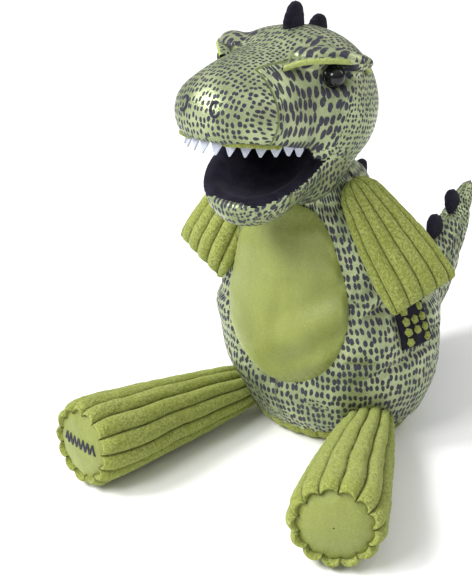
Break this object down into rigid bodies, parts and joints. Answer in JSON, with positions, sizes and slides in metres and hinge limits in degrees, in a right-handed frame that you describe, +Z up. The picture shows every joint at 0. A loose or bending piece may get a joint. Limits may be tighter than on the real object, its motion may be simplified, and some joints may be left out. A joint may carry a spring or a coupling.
{
  "type": "stuffed dinosaur",
  "caption": "Seated stuffed dinosaur with an open toothed mouth, ribbed fabric limbs, a smooth belly panel, a curved spiked tail and a zipped pocket in its back.",
  "frame": {"origin": "centre of the underside of the seat panel, on the surface that the toy sits on", "axes": "+Z up; the toy faces -Y, so +X is its left side and its tail points along +Y"},
  "size_m": [0.2223, 0.3696, 0.2931],
  "materials": {
    "scale_print": "thin foil-printed knit with dark reptile scales, satin to shiny between the scales",
    "corduroy": "soft wide-wale plush corduroy, matte",
    "velour": "short-pile velour with a soft sheen",
    "dark_felt": "near-black velvety felt, matte",
    "dark_thread": "near-black embroidery thread",
    "white_felt": "smooth bluish white felt",
    "fibre_filling": "white polyester fibre filling",
    "eye_plastic": "polished black",
    "clear_nylon": "unpolished moulded nylon",
    "zip_metal": "black lacquer"
  },
  "bodies": {
    "torso": {"torso_skin": "scale_print", "torso_stuffing": "fibre_filling", "belly_panel": "velour", "seat_panel": "corduroy", "hip_patch": "dark_felt", "back_spike_1": "dark_felt", "back_spike_2": "dark_felt", "back_spike_3": "dark_felt", "zip_tape": "dark_felt", "zip_coil": "clear_nylon", "pocket_pouch": "velour", "care_label": "white_felt"},
    "head": {"head_skin": "scale_print", "head_stuffing": "fibre_filling", "palate_lining": "dark_felt", "tooth_strip": "white_felt", "eye_left": "eye_plastic", "eye_right": "eye_plastic", "eye_washer_left": "clear_nylon", "eye_washer_right": "clear_nylon", "brow_left": "scale_print", "brow_right": "scale_print", "nostril_stitch_left": "dark_thread", "nostril_stitch_right": "dark_thread", "crown_spike_1": "dark_felt", "crown_spike_2": "dark_felt", "crown_spike_3": "dark_felt"},
    "jaw": {"jaw_skin": "scale_print", "jaw_stuffing": "fibre_filling", "jaw_lining": "dark_felt"},
    "arm_left": {"arm_left_skin": "corduroy", "arm_left_stuffing": "fibre_filling"},
    "arm_right": {"arm_right_skin": "corduroy", "arm_right_stuffing": "fibre_filling"},
    "leg_left": {"leg_left_skin": "corduroy", "leg_left_stuffing": "fibre_filling", "foot_pad_left": "velour"},
    "leg_right": {"leg_right_skin": "corduroy", "leg_right_stuffing": "fibre_filling", "foot_pad_right": "velour"},
    "tail": {"tail_skin": "scale_print", "tail_stuffing": "fibre_filling", "tail_spike_1": "dark_felt", "tail_spike_2": "dark_felt", "tail_spike_3": "dark_felt", "tail_spike_4": "dark_felt"},
    "zip_slider": {"zip_slider": "zip_metal"},
    "zip_pull": {"zip_pull": "zip_metal"}
  },
  "joints": [
    {"name": "head_nod", "type": "hinge", "parent": "torso", "child": "head", "pos_m": [0, -0.031, 0.172], "axis": [1, 0, 0], "range_deg": [-8, 12], "stiffness_Nm_per_rad": 1.2},
    {"name": "jaw_open", "type": "hinge", "parent": "head", "child": "jaw", "pos_m": [0, -0.062, 0.212], "axis": [1, 0, 0], "range_deg": [-18, 8], "stiffness_Nm_per_rad": 0.15},
    {"name": "shoulder_left_lift", "type": "hinge", "parent": "torso", "child": "arm_left", "pos_m": [0.039, -0.038, 0.178], "axis": [0, -1, 0], "range_deg": [0, 85]},
    {"name": "shoulder_right_lift", "type": "hinge", "parent": "torso", "child": "arm_right", "pos_m": [-0.039, -0.038, 0.178], "axis": [0, 1, 0], "range_deg": [0, 85]},
    {"name": "hip_left_lift", "type": "hinge", "parent": "torso", "child": "leg_left", "pos_m": [0.048, -0.027, 0.02], "axis": [-0.9184, -0.3957, 0], "range_deg": [0, 30]},
    {"name": "hip_right_lift", "type": "hinge", "parent": "torso", "child": "leg_right", "pos_m": [-0.045, -0.036, 0.02], "axis": [-0.9858, 0.1678, 0], "range_deg": [0, 30]},
    {"name": "tail_wag", "type": "hinge", "parent": "torso", "child": "tail", "pos_m": [0, 0.046, 0.038], "axis": [0, 0, 1], "range_deg": [-14, 14], "stiffness_Nm_per_rad": 0.4},
    {"name": "zip_open", "type": "slide", "parent": "torso", "child": "zip_slider", "axis": [-0.1645, 0.3761, -0.9118], "range_m": [0, 0.044]},
    {"name": "zip_pull_flip", "type": "hinge", "parent": "zip_slider", "child": "zip_pull", "pos_m": [-0.04255, 0.03233, 0.13573], "axis": [0.8211, 0.5645, 0.0847], "range_deg": [0, 150]}
  ]
}
